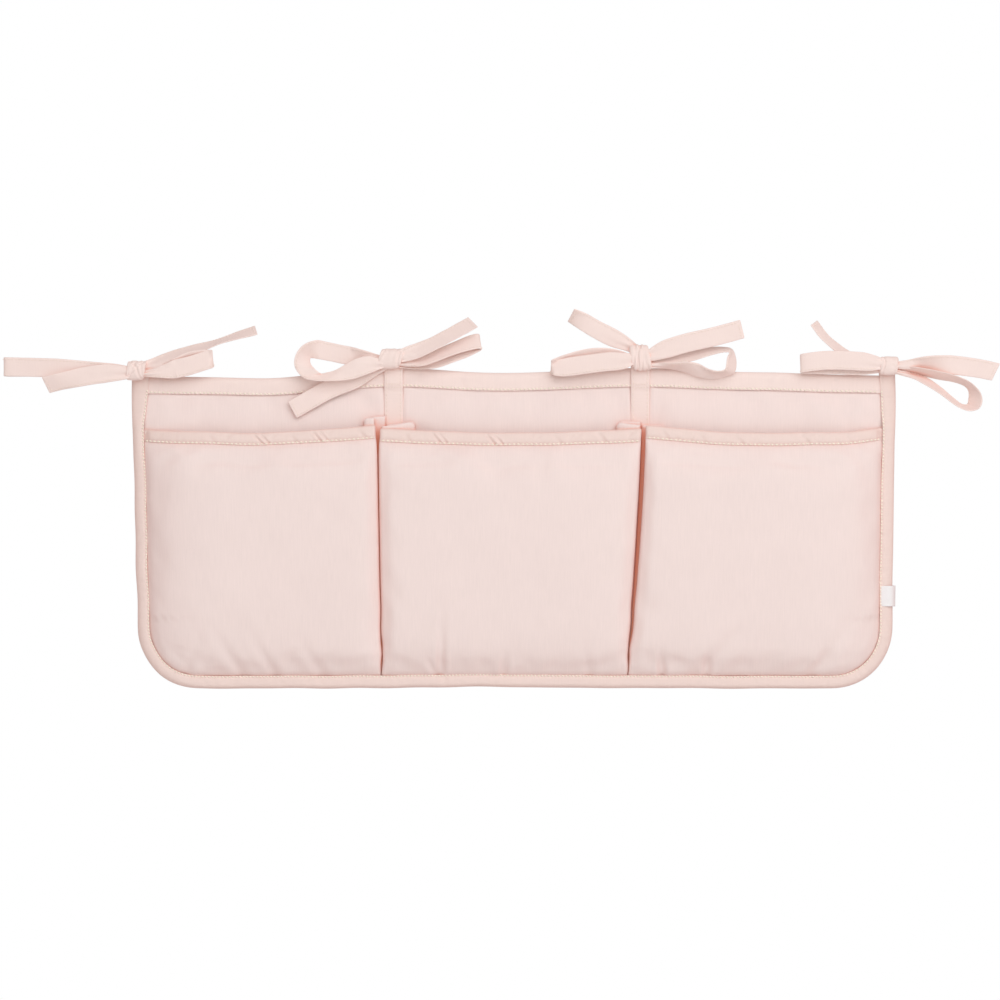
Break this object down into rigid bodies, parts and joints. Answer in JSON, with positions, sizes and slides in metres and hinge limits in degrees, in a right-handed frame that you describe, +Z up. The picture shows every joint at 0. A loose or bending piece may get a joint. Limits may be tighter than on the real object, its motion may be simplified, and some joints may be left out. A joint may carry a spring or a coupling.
{
  "type": "hanging pocket organizer",
  "caption": "Padded cotton bedside caddy: a bound back panel with a row of pleated pockets, hung from a bed or cot rail by tied bows.",
  "frame": {"origin": "middle of the tie line at the top, on the flat plane of the back", "axes": "+Z up as it hangs, -Y to the front, +X along the length to the right seen from the front"},
  "size_m": [0.7788, 0.0306, 0.2991],
  "materials": {
    "cotton": "matte",
    "ties": "matte",
    "lining": "matte",
    "wadding": "matte",
    "label": "satin"
  },
  "bodies": {
    "panel": {"back_cover": "cotton", "panel_wadding": "wadding", "front_cover": "cotton", "edge_binding": "cotton", "top_binding": "cotton", "side_label": "label", "pleat_left_inner": "lining", "pleat_middle_left": "lining", "pleat_middle_right": "lining", "pleat_right_inner": "lining", "tie_outer_left_strap": "ties", "tie_outer_left_knot": "ties", "tie_outer_left_tail_left": "ties", "tie_outer_left_loop_left": "ties", "tie_outer_left_tail_right": "ties", "tie_outer_left_loop_right": "ties", "tie_inner_left_strap": "ties", "tie_inner_left_knot": "ties", "tie_inner_left_tail_left": "ties", "tie_inner_left_loop_left": "ties", "tie_inner_left_tail_right": "ties", "tie_inner_left_loop_right": "ties", "tie_inner_right_strap": "ties", "tie_inner_right_knot": "ties", "tie_inner_right_tail_left": "ties", "tie_inner_right_loop_left": "ties", "tie_inner_right_tail_right": "ties", "tie_inner_right_loop_right": "ties", "tie_outer_right_strap": "ties", "tie_outer_right_knot": "ties", "tie_outer_right_tail_left": "ties", "tie_outer_right_loop_left": "ties", "tie_outer_right_tail_right": "ties", "tie_outer_right_loop_right": "ties"},
    "pocket_left": {"pocket_left_lining": "lining", "pocket_left_wadding": "wadding", "pocket_left_face": "cotton", "pocket_left_binding": "cotton"},
    "pocket_middle": {"pocket_middle_lining": "lining", "pocket_middle_wadding": "wadding", "pocket_middle_face": "cotton", "pocket_middle_binding": "cotton"},
    "pocket_right": {"pocket_right_lining": "lining", "pocket_right_wadding": "wadding", "pocket_right_face": "cotton", "pocket_right_binding": "cotton"}
  },
  "joints": [
    {"name": "pocket_left_open", "type": "hinge", "parent": "panel", "child": "pocket_left", "pos_m": [0, -0.0124, -0.2347], "axis": [1, 0, 0], "range_deg": [0, 8], "stiffness_Nm_per_rad": 0.15, "springref_deg": -4.58, "deforming": ["pleat_left_inner"]},
    {"name": "pocket_middle_open", "type": "hinge", "parent": "panel", "child": "pocket_middle", "pos_m": [0, -0.0124, -0.2347], "axis": [1, 0, 0], "range_deg": [0, 8], "stiffness_Nm_per_rad": 0.15, "springref_deg": -4.58, "deforming": ["pleat_middle_left", "pleat_middle_right"]},
    {"name": "pocket_right_open", "type": "hinge", "parent": "panel", "child": "pocket_right", "pos_m": [0, -0.0124, -0.2347], "axis": [1, 0, 0], "range_deg": [0, 8], "stiffness_Nm_per_rad": 0.15, "springref_deg": -4.58, "deforming": ["pleat_right_inner"]}
  ]
}
